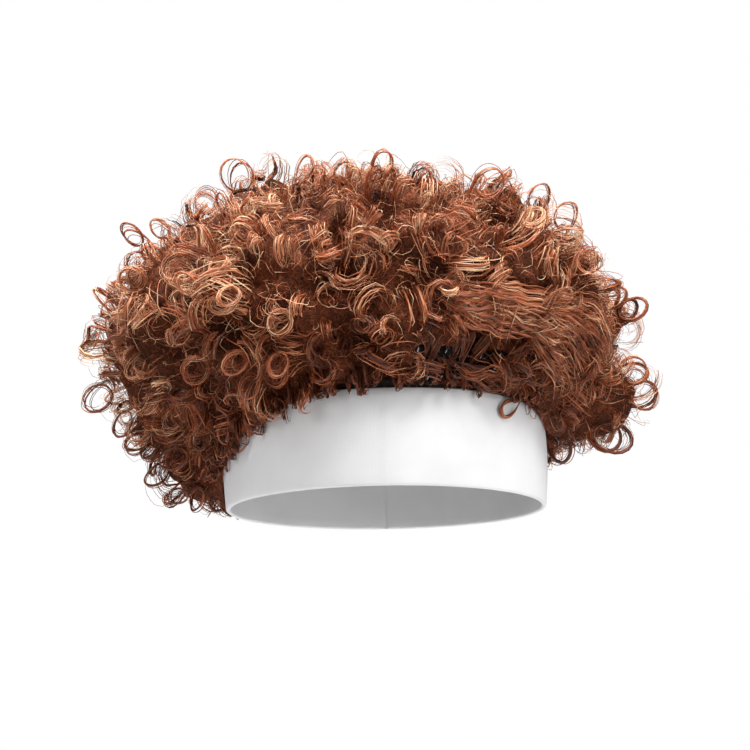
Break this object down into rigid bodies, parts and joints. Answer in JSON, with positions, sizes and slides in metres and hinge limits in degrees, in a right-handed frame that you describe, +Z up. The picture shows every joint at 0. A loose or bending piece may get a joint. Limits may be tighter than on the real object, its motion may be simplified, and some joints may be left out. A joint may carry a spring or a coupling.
{
  "type": "afro headband wig",
  "caption": "Bushy wig of auburn synthetic curls on a thin net cap, sewn to a plain white stretch headband that goes round the head and holds it on.",
  "frame": {"origin": "middle of the headband's lower rim, where the head goes in", "axes": "+Z up along the head, -Y the way the face looks, +X to the right of the front view"},
  "size_m": [0.2755, 0.2919, 0.1721],
  "materials": {
    "band_knit": "smooth matt stretch knit",
    "cap_net": "matt net with weft tape",
    "hair_fibre": "glossy crimped synthetic fibre"
  },
  "bodies": {
    "root": {"headband": "band_knit", "wig_cap": "cap_net", "hair": "hair_fibre"}
  },
  "joints": []
}
